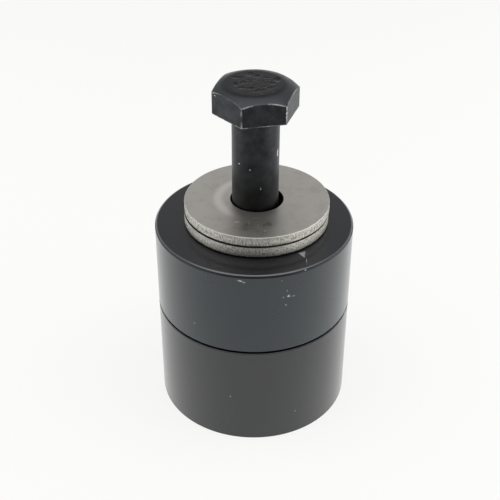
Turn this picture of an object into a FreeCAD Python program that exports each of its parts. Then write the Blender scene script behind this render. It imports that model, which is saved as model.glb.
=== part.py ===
"""Dimple die for flaring a 25 mm hole in sheet metal.

Two round dies of one diameter stand closed, one on the other. The upper die has the nose: a pilot
and a cone. The lower die is a ring with the matching flare. A bolt with two large washers goes
through both, and its nut stands in the bore of the lower die.

Millimetres. The origin is the centre of the lower die's base, and +Z runs up the bolt.
"""
import FreeCAD
import Part
import math
import os

# Dies
DIE_DIAMETER = 51.0
LOWER_DIE_HEIGHT = 29.0
UPPER_DIE_HEIGHT = 24.0
FLARE_ANGLE = 45.0              # from the axis
FLARE_DEPTH = 6.3               # of the lower die's flare, below the joint between the dies
PILOT_DIAMETER = 24.8           # goes into the hole made beforehand in the sheet
PILOT_LENGTH = 8.0              # straight length below the cone
PILOT_CLEARANCE = 0.9           # per side, between pilot and lower die
SHEET_ALLOWANCE = 1.4           # gap square to the two flare faces, for the sheet
BOLT_HOLE_CLEARANCE = 0.85      # per side, in the upper die

# Edges of the dies
RIM_RADIUS = 0.85               # upper die's top rim
SEAM_CHAMFER = 0.85             # upper die, where it meets the lower one
LOWER_RIM_CHAMFER = 0.15        # lower die, the edge the sheet slides over
BASE_CHAMFER = 0.15
MOUTH_RADIUS = 1.2              # lower die, joint face into flare
THROAT_RADIUS = 2.0             # lower die, flare into bore
NOSE_ROOT_RADIUS = 1.0          # upper die, shoulder into cone
NOSE_WAIST_RADIUS = 2.0         # upper die, cone into pilot
PILOT_LEAD = 1.5                # chamfer that finds the hole
BORE_CHAMFER = 0.5

# Bolt and nut, right-hand M12 x 1.75
THREAD_DIAMETER = 12.0
THREAD_PITCH = 1.75
THREAD_LENGTH = 32.0
THREAD_RUNNING_CLEARANCE = 0.05  # per side, between the two plain cylinders at the pitch line
SHANK_DIAMETER = 11.8
BOLT_LENGTH = 80.0
HEAD_ACROSS_FLATS = 18.65
HEAD_HEIGHT = 7.3               # with the bearing face
HEXAGON_CHAMFER_ANGLE = 35.0    # head and nut
HEXAGON_CHAMFER_SHARE = 0.93    # of the flats, where the chamfer starts
HEAD_CHAMFER_X = -0.4           # the head's chamfer lies off its centre
HEAD_CHAMFER_Y = 0.7
BEARING_FACE_DIAMETER = 17.2
BEARING_FACE_HEIGHT = 0.6
UNDERHEAD_CHAMFER = 0.25         # where shank and head meet
BOLT_END_CHAMFER = 1.0
NUT_ACROSS_FLATS = 18.8
NUT_HEIGHT = 10.0
NUT_COUNTERSINK_DIAMETER = 12.8

# Washers
WASHER_DIAMETER = 37.0
WASHER_BORE = 13.4
LOWER_WASHER_THICKNESS = 3.1
UPPER_WASHER_THICKNESS = 2.75
WASHER_ROLLED_EDGE = 0.4        # blanked edge, outside, laid face down
WASHER_BORE_EDGE = 0.25         # blanked edge, bore

# Where the loose pieces stand in their clearances
BOLT_X = 0.25
BOLT_Y = 0.2
HEAD_GAP = 24.3                 # free shank between the washers and the head
HEAD_TURN = 11.7                # degrees, corner of the head from -X
NUT_TURN = 24.0
UPPER_WASHER_X = 0.66
UPPER_WASHER_Y = 0.5
LOWER_WASHER_X = 0.55
LOWER_WASHER_Y = 0.55

# Sizes that follow from those
DIE_RADIUS = DIE_DIAMETER / 2
STACK_HEIGHT = LOWER_DIE_HEIGHT + UPPER_DIE_HEIGHT
PILOT_RADIUS = PILOT_DIAMETER / 2
LOWER_BORE_RADIUS = PILOT_RADIUS + PILOT_CLEARANCE
FLARE_SLOPE = math.tan(math.radians(FLARE_ANGLE))
MOUTH_FLARE_RADIUS = LOWER_BORE_RADIUS + FLARE_DEPTH * FLARE_SLOPE
NOSE_ROOT = MOUTH_FLARE_RADIUS - SHEET_ALLOWANCE / math.cos(math.radians(FLARE_ANGLE))
CONE_DEPTH = (NOSE_ROOT - PILOT_RADIUS) / FLARE_SLOPE
NOSE_END = LOWER_DIE_HEIGHT - CONE_DEPTH - PILOT_LENGTH
BOLT_HOLE_RADIUS = SHANK_DIAMETER / 2 + BOLT_HOLE_CLEARANCE
THREAD_PITCH_RADIUS = THREAD_DIAMETER / 2 - 0.375 * math.cos(math.radians(30)) * THREAD_PITCH
LOWER_WASHER_BASE = STACK_HEIGHT
UPPER_WASHER_BASE = STACK_HEIGHT + LOWER_WASHER_THICKNESS
HEAD_BASE = UPPER_WASHER_BASE + UPPER_WASHER_THICKNESS + HEAD_GAP

AXIS = FreeCAD.Vector(0, 0, 1)
CENTRE = FreeCAD.Vector(0, 0, 0)
SAME = 1e-4


def turned(outline):
    """A turned solid from its outline: each corner's radius, height and, where it has one, rounding."""
    corners = [FreeCAD.Vector(corner[0], 0, corner[1]) for corner in outline]
    stretches = []
    for place, corner in enumerate(corners):
        rounding = outline[place][2] if len(outline[place]) > 2 else 0
        back = (corners[place - 1] - corner).normalize()
        on = (corners[(place + 1) % len(corners)] - corner).normalize()
        half_angle = back.getAngle(on) / 2
        reach = rounding / math.tan(half_angle)
        inwards = (back + on).normalize()
        middle = corner + inwards * (rounding / math.sin(half_angle) - rounding)
        stretches.append((corner + back * reach, middle, corner + on * reach))
    edges = []
    for place, (enters, middle, leaves) in enumerate(stretches):
        edges.append(Part.makeLine(stretches[place - 1][2], enters))
        if not enters.isEqual(leaves, SAME):
            edges.append(Part.Arc(enters, middle, leaves).toShape())
    return Part.Face(Part.Wire(edges)).revolve(CENTRE, AXIS, 360)


def rings(solid, radius, height):
    """The round edges of a turned solid at one radius and height."""
    found = []
    for edge in solid.Edges:
        if not isinstance(edge.Curve, Part.Circle):
            continue
        right_radius = abs(edge.Curve.Radius - radius) < SAME
        right_height = abs(edge.Curve.Center.z - height) < SAME
        if right_radius and right_height:
            found.append(edge)
    if not found:
        raise ValueError(f"no round edge at radius {radius:.3f}, height {height:.3f}")
    return found


def chamfered(solid, radius, height, size):
    return solid.makeChamfer(size, rings(solid, radius, height))


def moved(solid, x=0.0, y=0.0, z=0.0, turn=0.0):
    """A copy of the solid, turned about its own axis and then set in its place."""
    place = FreeCAD.Placement(FreeCAD.Vector(x, y, z), FreeCAD.Rotation(AXIS, turn))
    return solid.transformed(place.toMatrix(), True)


def lower_die():
    """Ring with a flare at its mouth and a straight bore through."""
    flare_foot = LOWER_DIE_HEIGHT - FLARE_DEPTH
    solid = turned([
        (LOWER_BORE_RADIUS, 0),
        (DIE_RADIUS, 0),
        (DIE_RADIUS, LOWER_DIE_HEIGHT),
        (MOUTH_FLARE_RADIUS, LOWER_DIE_HEIGHT, MOUTH_RADIUS),
        (LOWER_BORE_RADIUS, flare_foot, THROAT_RADIUS),
    ])
    solid = chamfered(solid, LOWER_BORE_RADIUS, 0, BORE_CHAMFER)
    solid = chamfered(solid, DIE_RADIUS, 0, BASE_CHAMFER)
    return chamfered(solid, DIE_RADIUS, LOWER_DIE_HEIGHT, LOWER_RIM_CHAMFER)


def upper_die():
    """Die with the nose: a cone that forms the flare and a pilot that centres the sheet."""
    cone_foot = LOWER_DIE_HEIGHT - CONE_DEPTH
    solid = turned([
        (BOLT_HOLE_RADIUS, NOSE_END),
        (PILOT_RADIUS, NOSE_END),
        (PILOT_RADIUS, cone_foot, NOSE_WAIST_RADIUS),
        (NOSE_ROOT, LOWER_DIE_HEIGHT, NOSE_ROOT_RADIUS),
        (DIE_RADIUS, LOWER_DIE_HEIGHT),
        (DIE_RADIUS, STACK_HEIGHT, RIM_RADIUS),
        (BOLT_HOLE_RADIUS, STACK_HEIGHT),
    ])
    solid = chamfered(solid, PILOT_RADIUS, NOSE_END, PILOT_LEAD)
    solid = chamfered(solid, BOLT_HOLE_RADIUS, NOSE_END, BORE_CHAMFER)
    solid = chamfered(solid, BOLT_HOLE_RADIUS, STACK_HEIGHT, BORE_CHAMFER)
    return chamfered(solid, DIE_RADIUS, LOWER_DIE_HEIGHT, SEAM_CHAMFER)


def washer(thickness):
    """Blanked washer lying on its punch side, where the edges are rolled over; they are sharp above."""
    outside = WASHER_DIAMETER / 2
    bore = WASHER_BORE / 2
    solid = turned([
        (bore, 0),
        (outside, 0),
        (outside, thickness),
        (bore, thickness),
    ])
    solid = chamfered(solid, outside, 0, WASHER_ROLLED_EDGE)
    return chamfered(solid, bore, 0, WASHER_BORE_EDGE)


def hexagon_prism(across_flats, base, height):
    """Hexagon standing on a corner at -X."""
    corner_radius = across_flats / math.sqrt(3)
    corners = []
    for step in range(6):
        angle = math.pi + step * math.pi / 3
        x = corner_radius * math.cos(angle)
        y = corner_radius * math.sin(angle)
        corners.append(FreeCAD.Vector(x, y, base))
    wire = Part.makePolygon(corners + corners[:1])
    return Part.Face(wire).extrude(AXIS * height)


def chamfer_drop(across_flats, radius):
    """How far the turned chamfer of a hexagon has come down at a radius."""
    chamfer_start = across_flats / 2 * HEXAGON_CHAMFER_SHARE
    return (radius - chamfer_start) * math.tan(math.radians(HEXAGON_CHAMFER_ANGLE))


def bolt():
    """Hexagon bolt with a plain shank, in its own frame with the head's bearing face at height 0."""
    shank = SHANK_DIAMETER / 2
    bearing = BEARING_FACE_DIAMETER / 2
    runout = shank - THREAD_PITCH_RADIUS
    thread_top = THREAD_LENGTH - BOLT_LENGTH
    stem = turned([
        (0, -BOLT_LENGTH),
        (THREAD_PITCH_RADIUS, -BOLT_LENGTH),
        (THREAD_PITCH_RADIUS, thread_top - runout),
        (shank, thread_top),
        (shank, 0),
        (bearing, 0),
        (bearing, BEARING_FACE_HEIGHT),
        (0, BEARING_FACE_HEIGHT),
    ])
    stem = chamfered(stem, THREAD_PITCH_RADIUS, -BOLT_LENGTH, BOLT_END_CHAMFER)
    stem = chamfered(stem, shank, 0, UNDERHEAD_CHAMFER)

    flat_radius = HEAD_ACROSS_FLATS / 2
    chamfer_start = flat_radius * HEXAGON_CHAMFER_SHARE
    reach = HEAD_ACROSS_FLATS / math.sqrt(3) + math.hypot(HEAD_CHAMFER_X, HEAD_CHAMFER_Y)
    prism = hexagon_prism(HEAD_ACROSS_FLATS, BEARING_FACE_HEIGHT, HEAD_HEIGHT - BEARING_FACE_HEIGHT)
    chamfer = turned([
        (0, BEARING_FACE_HEIGHT),
        (reach, BEARING_FACE_HEIGHT),
        (reach, HEAD_HEIGHT - chamfer_drop(HEAD_ACROSS_FLATS, reach)),
        (chamfer_start, HEAD_HEIGHT),
        (0, HEAD_HEIGHT),
    ])
    head = prism.common(moved(chamfer, HEAD_CHAMFER_X, HEAD_CHAMFER_Y))
    return stem.fuse(head).removeSplitter()


def nut():
    """Plain hexagon nut, chamfered on both faces and countersunk at both ends of the thread."""
    flat_radius = NUT_ACROSS_FLATS / 2
    chamfer_start = flat_radius * HEXAGON_CHAMFER_SHARE
    corner_radius = NUT_ACROSS_FLATS / math.sqrt(3)
    drop = chamfer_drop(NUT_ACROSS_FLATS, corner_radius)
    bore = THREAD_PITCH_RADIUS + THREAD_RUNNING_CLEARANCE
    countersink = NUT_COUNTERSINK_DIAMETER / 2
    lead = countersink - bore
    prism = hexagon_prism(NUT_ACROSS_FLATS, 0, NUT_HEIGHT)
    envelope = turned([
        (countersink, 0),
        (chamfer_start, 0),
        (corner_radius, drop),
        (corner_radius, NUT_HEIGHT - drop),
        (chamfer_start, NUT_HEIGHT),
        (countersink, NUT_HEIGHT),
        (bore, NUT_HEIGHT - lead),
        (bore, lead),
    ])
    return prism.common(envelope)


def main():
    washer_below = washer(LOWER_WASHER_THICKNESS)
    washer_above = washer(UPPER_WASHER_THICKNESS)
    pieces = {
        "lower_die": lower_die(),
        "upper_die": upper_die(),
        "washer_lower": moved(washer_below, LOWER_WASHER_X, LOWER_WASHER_Y, LOWER_WASHER_BASE),
        "washer_upper": moved(washer_above, UPPER_WASHER_X, UPPER_WASHER_Y, UPPER_WASHER_BASE),
        "bolt": moved(bolt(), BOLT_X, BOLT_Y, HEAD_BASE, HEAD_TURN),
        "nut": moved(nut(), BOLT_X, BOLT_Y, 0, NUT_TURN),
    }
    os.makedirs("parts", exist_ok=True)
    for name, solid in pieces.items():
        solid.exportStep(f"parts/{name}.step")
        box = solid.BoundBox
        print(f"{name}: {len(solid.Solids)} solid, valid {solid.isValid()}, {solid.Volume:.1f} mm3,"
              f" z {box.ZMin:.2f} to {box.ZMax:.2f}")


main()
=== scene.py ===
"""Looks of a dimple die set: two oiled black dies, two blanked washers, a hexagon bolt and its nut."""

import math

import bpy
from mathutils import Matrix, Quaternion, Vector

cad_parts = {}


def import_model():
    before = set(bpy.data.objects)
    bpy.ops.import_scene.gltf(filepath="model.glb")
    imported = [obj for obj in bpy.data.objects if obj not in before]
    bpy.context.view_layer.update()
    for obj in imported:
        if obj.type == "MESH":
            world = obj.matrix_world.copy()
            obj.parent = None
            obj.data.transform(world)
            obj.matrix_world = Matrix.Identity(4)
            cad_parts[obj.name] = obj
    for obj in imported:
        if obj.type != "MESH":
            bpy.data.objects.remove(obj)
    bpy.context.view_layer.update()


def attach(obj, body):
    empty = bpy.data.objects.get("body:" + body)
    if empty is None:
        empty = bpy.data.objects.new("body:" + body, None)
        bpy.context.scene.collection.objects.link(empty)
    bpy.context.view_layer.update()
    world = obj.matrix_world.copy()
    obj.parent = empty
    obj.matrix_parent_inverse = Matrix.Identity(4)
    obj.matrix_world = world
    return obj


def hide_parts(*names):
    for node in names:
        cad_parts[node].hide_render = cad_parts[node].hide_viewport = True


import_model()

MM = 0.001

# Dies, mm
DIE_RADIUS = 25.5
SEAM = 29.0                  # where the two dies meet
STACK_TOP = 53.0
LOWER_BORE_RADIUS = 13.3
MOUTH_FLARE_RADIUS = 19.6
FLARE_FOOT = 22.7
FLARE_ANGLE = 45.0           # degrees, of the flare and of the nose that fits it
MOUTH_RADIUS = 1.2
THROAT_RADIUS = 2.0
PILOT_RADIUS = 12.4
NOSE_ROOT = 17.62
CONE_FOOT = 23.78
NOSE_END = 15.78
NOSE_ROOT_RADIUS = 1.0
NOSE_WAIST_RADIUS = 2.0
PILOT_LEAD = 1.5
BOLT_HOLE_RADIUS = 6.75
RIM_RADIUS = 0.85
SEAM_CHAMFER = 0.85          # upper die only; the lower one keeps its edge
LOWER_RIM_CHAMFER = 0.15
BASE_CHAMFER = 0.15
BORE_CHAMFER = 0.5
LOWER_DIE_BROKEN_EDGE = 0.06

# Washers, mm
WASHER_RADIUS = 18.5
WASHER_BORE_RADIUS = 6.7
WASHER_ROLLED_EDGE = 0.4     # the round that blanking leaves on one side; the washers lie on it
WASHER_BORE_EDGE = 0.25
WASHER_SHEARED_EDGE = 0.12   # on the upper side, nearly sharp
LOWER_WASHER = {"x": 0.55, "y": 0.55, "base": 53.0, "thickness": 3.1}
UPPER_WASHER = {"x": 0.66, "y": 0.5, "base": 56.1, "thickness": 2.75}

# Bolt and nut, mm
BOLT_X = 0.25
BOLT_Y = 0.2
HEAD_BASE = 83.15
BOLT_END = 3.15
SHANK_RADIUS = 5.9
SHANK_FILLET = 0.25
THREAD_TOP = 35.15
BOLT_END_CHAMFER = 1.0
BEARING_RADIUS = 8.6
BEARING_HEIGHT = 0.6
BEARING_EDGE = 0.15
BEARING_INSET = 0.5          # how far the washer face runs up into the head
HEAD_HEIGHT = 7.3
HEAD_ACROSS_FLATS = 18.65
HEAD_TURN = 11.7
NUT_ACROSS_FLATS = 18.8
NUT_HEIGHT = 10.0
NUT_TURN = 24.0
NUT_COUNTERSINK_RADIUS = 6.4
HEXAGON_CHAMFER_ANGLE = 35.0
HEXAGON_CHAMFER_SHARE = 0.93
HEXAGON_CORNER_RADIUS = 0.2
HEAD_TOP_ROUND = 6.0         # where the head's top runs into its chamfer
HEAD_CHAMFER_X = -0.53       # the chamfer was turned off centre by this much
HEAD_CHAMFER_Y = 0.6
THREAD_PITCH = 1.75
THREAD_MAJOR_RADIUS = 5.93
THREAD_MINOR_RADIUS = 4.95
THREAD_CREST = 0.22
THREAD_ROOT = 0.4
THREAD_CLEARANCE = 0.05
STEM_CORE = THREAD_MINOR_RADIUS - 0.6    # the rod inside the thread
THREAD_RUN_OUT = 3.0
THREAD_ALLOWANCE = 0.2       # by which a cutting shape clears the thread
CUTTER_MARGIN = 2            # by which it clears a hexagon's corners

# How finely round pieces are drawn
RING_POINTS = 256
THREAD_POINTS = 72
ROUNDING_STEPS = 8
RIM_STEPS = 12
BROKEN_EDGE = 0.1            # mm, the small round left on every machined corner
SAME = 1e-3                  # mm, two points this near are one place


def only(piece):
    """Makes that piece the only one selected, and the active one."""
    if bpy.context.object and bpy.context.object.mode == "EDIT":
        bpy.ops.object.mode_set(mode="OBJECT")
    bpy.ops.object.select_all(action="DESELECT")
    piece.select_set(True)
    bpy.context.view_layer.objects.active = piece


def place_applied(piece, name):
    """Names a new primitive and puts its place and turn into its mesh."""
    piece.name = name
    piece.data.name = name
    only(piece)
    bpy.ops.object.transform_apply(location=True, rotation=True, scale=True)
    return piece


def closed_up(piece):
    """Merges doubles and turns every face outwards."""
    only(piece)
    bpy.ops.object.mode_set(mode="EDIT")
    bpy.ops.mesh.select_all(action="SELECT")
    bpy.ops.mesh.remove_doubles(threshold=SAME * MM)
    bpy.ops.mesh.normals_make_consistent(inside=False)
    bpy.ops.object.mode_set(mode="OBJECT")


def turned(name, outline, bored=True, points=RING_POINTS):
    """A lathe-turned piece: a ring drawn out along its outline, each corner a radius and a height in mm.
    A bored piece's outline comes back to its first corner; a solid one is closed by its first and last rings."""
    radius, height = outline[0]
    bpy.ops.object.select_all(action="DESELECT")
    bpy.ops.mesh.primitive_circle_add(
        vertices=points, radius=radius * MM, fill_type="NOTHING" if bored else "NGON", location=(0, 0, height * MM)
    )
    piece = place_applied(bpy.context.object, name)
    bpy.ops.object.mode_set(mode="EDIT")
    bpy.ops.mesh.select_all(action="SELECT")
    corners = outline[1:] + outline[:1] if bored else outline[1:]
    for next_radius, next_height in corners:
        rise = (next_height - height) * MM
        share = next_radius / radius
        bpy.ops.mesh.extrude_region_move(TRANSFORM_OT_translate={"value": (0, 0, rise)})
        bpy.ops.transform.resize(value=(share, share, 1), center_override=(0, 0, next_height * MM))
        radius, height = next_radius, next_height
    bpy.ops.object.mode_set(mode="OBJECT")
    closed_up(piece)
    return piece


def rounded(piece, radius, height, rounding, turn, segments):
    """Rounds the ring at that radius and height, where the surface turns by that many degrees."""
    only(piece)
    points = piece.data.vertices
    on_ring = [
        abs(math.hypot(p.co.x, p.co.y) / MM - radius) < SAME and abs(p.co.z / MM - height) < SAME for p in points
    ]
    for kind in (points, piece.data.edges, piece.data.polygons):
        kind.foreach_set("select", [False] * len(kind))
    for edge in piece.data.edges:
        edge.select = all(on_ring[end] for end in edge.vertices)
    bpy.ops.object.mode_set(mode="EDIT")
    bpy.ops.mesh.select_mode(type="EDGE")
    reach = rounding * math.tan(math.radians(turn) / 2)
    bpy.ops.mesh.bevel(offset=reach * MM, offset_type="OFFSET", segments=segments, profile=0.5, affect="EDGES")
    bpy.ops.object.mode_set(mode="OBJECT")


def edges_broken(piece, width=BROKEN_EDGE, sharper_than=25.0, segments=3):
    """Rounds every edge sharper than that angle by a little, as a deburred corner is."""
    only(piece)
    bpy.ops.object.mode_set(mode="EDIT")
    bpy.ops.mesh.select_mode(type="EDGE")
    bpy.ops.mesh.select_all(action="DESELECT")
    bpy.ops.mesh.edges_select_sharp(sharpness=math.radians(sharper_than))
    bpy.ops.mesh.bevel(offset=width * MM, segments=segments, profile=0.5, affect="EDGES", clamp_overlap=True)
    bpy.ops.object.mode_set(mode="OBJECT")


def smooth(piece, angle=35.0):
    """Smooth shading that keeps flat faces flat beside their rounded edges."""
    only(piece)
    bpy.ops.object.shade_smooth_by_angle(angle=math.radians(angle))
    weighted = piece.modifiers.new("flat_faces_kept", "WEIGHTED_NORMAL")
    weighted.keep_sharp = True
    weighted.weight = 100
    bpy.ops.object.modifier_apply(modifier=weighted.name)


def set_down(piece, x, y, z):
    """Moves a finished mesh to its place, with its object left at the origin."""
    only(piece)
    piece.location = (x * MM, y * MM, z * MM)
    bpy.ops.object.transform_apply(location=True)


def combined(piece, other, operation):
    """Cuts, joins or keeps the common part of two closed pieces; the other one is used up."""
    only(piece)
    change = piece.modifiers.new("combined", "BOOLEAN")
    change.operation = operation
    change.object = other
    change.solver = "EXACT"
    bpy.ops.object.modifier_apply(modifier=change.name)
    bpy.data.objects.remove(other)
    return piece


def lower_die_piece():
    piece = turned("lower_die_turned", [
        (LOWER_BORE_RADIUS + BORE_CHAMFER, 0),
        (DIE_RADIUS - BASE_CHAMFER, 0),
        (DIE_RADIUS, BASE_CHAMFER),
        (DIE_RADIUS, SEAM - LOWER_RIM_CHAMFER),
        (DIE_RADIUS - LOWER_RIM_CHAMFER, SEAM),
        (MOUTH_FLARE_RADIUS, SEAM),
        (LOWER_BORE_RADIUS, FLARE_FOOT),
        (LOWER_BORE_RADIUS, BORE_CHAMFER),
    ])
    rounded(piece, MOUTH_FLARE_RADIUS, SEAM, MOUTH_RADIUS, FLARE_ANGLE, ROUNDING_STEPS)
    rounded(piece, LOWER_BORE_RADIUS, FLARE_FOOT, THROAT_RADIUS, FLARE_ANGLE, ROUNDING_STEPS)
    edges_broken(piece, width=LOWER_DIE_BROKEN_EDGE)
    smooth(piece)
    return piece


def upper_die_piece():
    piece = turned("upper_die_turned", [
        (BOLT_HOLE_RADIUS + BORE_CHAMFER, NOSE_END),
        (PILOT_RADIUS - PILOT_LEAD, NOSE_END),
        (PILOT_RADIUS, NOSE_END + PILOT_LEAD),
        (PILOT_RADIUS, CONE_FOOT),
        (NOSE_ROOT, SEAM),
        (DIE_RADIUS - SEAM_CHAMFER, SEAM),
        (DIE_RADIUS, SEAM + SEAM_CHAMFER),
        (DIE_RADIUS, STACK_TOP),
        (BOLT_HOLE_RADIUS + BORE_CHAMFER, STACK_TOP),
        (BOLT_HOLE_RADIUS, STACK_TOP - BORE_CHAMFER),
        (BOLT_HOLE_RADIUS, NOSE_END + BORE_CHAMFER),
    ])
    rounded(piece, PILOT_RADIUS, CONE_FOOT, NOSE_WAIST_RADIUS, FLARE_ANGLE, ROUNDING_STEPS)
    rounded(piece, NOSE_ROOT, SEAM, NOSE_ROOT_RADIUS, FLARE_ANGLE, ROUNDING_STEPS)
    rounded(piece, DIE_RADIUS, STACK_TOP, RIM_RADIUS, 90, RIM_STEPS)
    edges_broken(piece)
    smooth(piece)
    return piece


def washer_piece(name, place):
    thickness = place["thickness"]
    piece = turned(name, [
        (WASHER_BORE_RADIUS, 0),
        (WASHER_RADIUS, 0),
        (WASHER_RADIUS, thickness),
        (WASHER_BORE_RADIUS, thickness),
    ])
    rounded(piece, WASHER_RADIUS, 0, WASHER_ROLLED_EDGE, 90, 5)
    rounded(piece, WASHER_BORE_RADIUS, 0, WASHER_BORE_EDGE, 90, 4)
    rounded(piece, WASHER_RADIUS, thickness, WASHER_SHEARED_EDGE, 90, 4)
    rounded(piece, WASHER_BORE_RADIUS, thickness, BROKEN_EDGE, 90, 3)
    smooth(piece)
    set_down(piece, place["x"], place["y"], place["base"])
    return piece


def hexagon(name, across_flats, base, height, turn):
    """A hexagonal bar end with slightly rounded corners, one of them turned that far on from -X."""
    bpy.ops.object.select_all(action="DESELECT")
    bpy.ops.mesh.primitive_cylinder_add(
        vertices=6,
        radius=across_flats / math.sqrt(3) * MM,
        depth=height * MM,
        location=(0, 0, (base + height / 2) * MM),
        rotation=(0, 0, math.radians(30 + turn)),
    )
    piece = place_applied(bpy.context.object, name)
    points = piece.data.vertices
    points.foreach_set("select", [False] * len(points))
    piece.data.polygons.foreach_set("select", [False] * len(piece.data.polygons))
    for edge in piece.data.edges:
        low, high = (points[end].co for end in edge.vertices)
        edge.select = abs(low.z - high.z) > height / 2 * MM
    bpy.ops.object.mode_set(mode="EDIT")
    bpy.ops.mesh.select_mode(type="EDGE")
    bpy.ops.mesh.bevel(offset=HEXAGON_CORNER_RADIUS * MM, segments=4, profile=0.5, affect="EDGES")
    bpy.ops.object.mode_set(mode="OBJECT")
    return piece


def corner_drop(across_flats):
    """How far the turned chamfer has come down at a hexagon's corners, mm."""
    start = across_flats / 2 * HEXAGON_CHAMFER_SHARE
    return (across_flats / math.sqrt(3) - start) * math.tan(math.radians(HEXAGON_CHAMFER_ANGLE))


def thread(name, foot, top, growth=0.0):
    """A right-hand thread as a closed rod: one groove's outline screwed up, and cut flat at both ends."""
    bpy.ops.object.select_all(action="DESELECT")
    bpy.ops.mesh.primitive_plane_add(size=MM, location=(0, 0, 0))
    piece = place_applied(bpy.context.object, name)
    flank = (THREAD_PITCH - THREAD_CREST - THREAD_ROOT) / 2
    minor = THREAD_MINOR_RADIUS + growth
    major = THREAD_MAJOR_RADIUS + growth
    start = BOLT_END - 4 * THREAD_PITCH
    bpy.ops.object.mode_set(mode="EDIT")
    bpy.ops.mesh.select_all(action="SELECT")
    bpy.ops.mesh.merge(type="CENTER")
    bpy.ops.transform.translate(value=(minor * MM, 0, start * MM))
    for out, up in ((0, THREAD_ROOT), (major - minor, flank), (0, THREAD_CREST), (minor - major, flank)):
        bpy.ops.mesh.extrude_region_move(TRANSFORM_OT_translate={"value": (out * MM, 0, up * MM)})
    bpy.ops.object.mode_set(mode="OBJECT")
    screw = piece.modifiers.new("screwed_up", "SCREW")
    screw.axis = "Z"
    screw.angle = math.tau
    screw.screw_offset = THREAD_PITCH * MM
    screw.iterations = math.ceil((top - start) / THREAD_PITCH) + 2
    screw.steps = THREAD_POINTS
    screw.render_steps = THREAD_POINTS
    bpy.ops.object.modifier_apply(modifier=screw.name)
    closed_up(piece)
    for height, away in ((foot, -1), (top, 1)):
        bpy.ops.object.mode_set(mode="EDIT")
        bpy.ops.mesh.select_all(action="SELECT")
        bpy.ops.mesh.bisect(
            plane_co=(0, 0, height * MM), plane_no=(0, 0, away), use_fill=True, clear_outer=True, threshold=1e-7
        )
        bpy.ops.object.mode_set(mode="OBJECT")
    closed_up(piece)
    return piece


def bolt_piece():
    base = HEAD_BASE
    drop = corner_drop(HEAD_ACROSS_FLATS)
    corner_radius = HEAD_ACROSS_FLATS / math.sqrt(3)
    head = hexagon("bolt_forged", HEAD_ACROSS_FLATS, base + BEARING_HEIGHT, HEAD_HEIGHT - BEARING_HEIGHT, HEAD_TURN)
    envelope = turned("head_envelope", [
        (corner_radius + CUTTER_MARGIN, base),
        (corner_radius + CUTTER_MARGIN,
         base + HEAD_HEIGHT - drop - CUTTER_MARGIN * math.tan(math.radians(HEXAGON_CHAMFER_ANGLE))),
        (HEAD_ACROSS_FLATS / 2 * HEXAGON_CHAMFER_SHARE, base + HEAD_HEIGHT),
    ], bored=False)
    rounded(envelope, HEAD_ACROSS_FLATS / 2 * HEXAGON_CHAMFER_SHARE, base + HEAD_HEIGHT, HEAD_TOP_ROUND,
            HEXAGON_CHAMFER_ANGLE, ROUNDING_STEPS)
    set_down(envelope, HEAD_CHAMFER_X, HEAD_CHAMFER_Y, 0)
    combined(head, envelope, "INTERSECT")
    edges_broken(head, width=0.12, segments=2)
    stem = turned("bolt_stem", [
        (STEM_CORE, BOLT_END + 0.2),
        (STEM_CORE, THREAD_TOP - THREAD_RUN_OUT),
        (SHANK_RADIUS, THREAD_TOP),
        (SHANK_RADIUS, base),
        (BEARING_RADIUS, base),
        (BEARING_RADIUS, base + BEARING_HEIGHT),
        (BEARING_RADIUS - BEARING_INSET, base + BEARING_HEIGHT + BEARING_INSET),
    ], bored=False)
    rounded(stem, SHANK_RADIUS, base, SHANK_FILLET, 90, 5)
    rounded(stem, BEARING_RADIUS, base, BEARING_EDGE, 90, 3)
    rod = thread("bolt_thread", BOLT_END, THREAD_TOP)
    lead = turned("thread_lead", [
        (THREAD_MAJOR_RADIUS + THREAD_ALLOWANCE - BOLT_END_CHAMFER, BOLT_END - 0.001),
        (THREAD_MAJOR_RADIUS + THREAD_ALLOWANCE, BOLT_END + BOLT_END_CHAMFER),
        (THREAD_MAJOR_RADIUS + THREAD_ALLOWANCE, THREAD_TOP + 1),
    ], bored=False)
    combined(rod, lead, "INTERSECT")
    only(head)
    stem.select_set(True)
    rod.select_set(True)
    bpy.ops.object.join()
    smooth(head, 30)
    set_down(head, BOLT_X, BOLT_Y, 0)
    return head


def nut_piece():
    drop = corner_drop(NUT_ACROSS_FLATS)
    corner_radius = NUT_ACROSS_FLATS / math.sqrt(3) + 1
    chamfer_start = NUT_ACROSS_FLATS / 2 * HEXAGON_CHAMFER_SHARE
    foot = drop + math.tan(math.radians(HEXAGON_CHAMFER_ANGLE))
    bore = THREAD_MINOR_RADIUS + THREAD_ALLOWANCE
    lead = NUT_COUNTERSINK_RADIUS - bore
    body = hexagon("nut_forged", NUT_ACROSS_FLATS, 0, NUT_HEIGHT, NUT_TURN)
    envelope = turned("nut_envelope", [
        (NUT_COUNTERSINK_RADIUS, 0),
        (chamfer_start, 0),
        (corner_radius, foot),
        (corner_radius, NUT_HEIGHT - foot),
        (chamfer_start, NUT_HEIGHT),
        (NUT_COUNTERSINK_RADIUS, NUT_HEIGHT),
        (bore, NUT_HEIGHT - lead),
        (bore, lead),
    ])
    combined(body, envelope, "INTERSECT")
    tap = thread("nut_tap", -2, NUT_HEIGHT + 2, THREAD_CLEARANCE)
    combined(body, tap, "DIFFERENCE")
    smooth(body, 30)
    set_down(body, BOLT_X, BOLT_Y, 0)
    return body


def linear(code):
    """An sRGB hex colour as the linear colour that shaders take."""
    channels = [int(code[place:place + 2], 16) / 255 for place in (1, 3, 5)]
    return [c / 12.92 if c <= 0.04045 else ((c + 0.055) / 1.055) ** 2.4 for c in channels] + [1.0]


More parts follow.
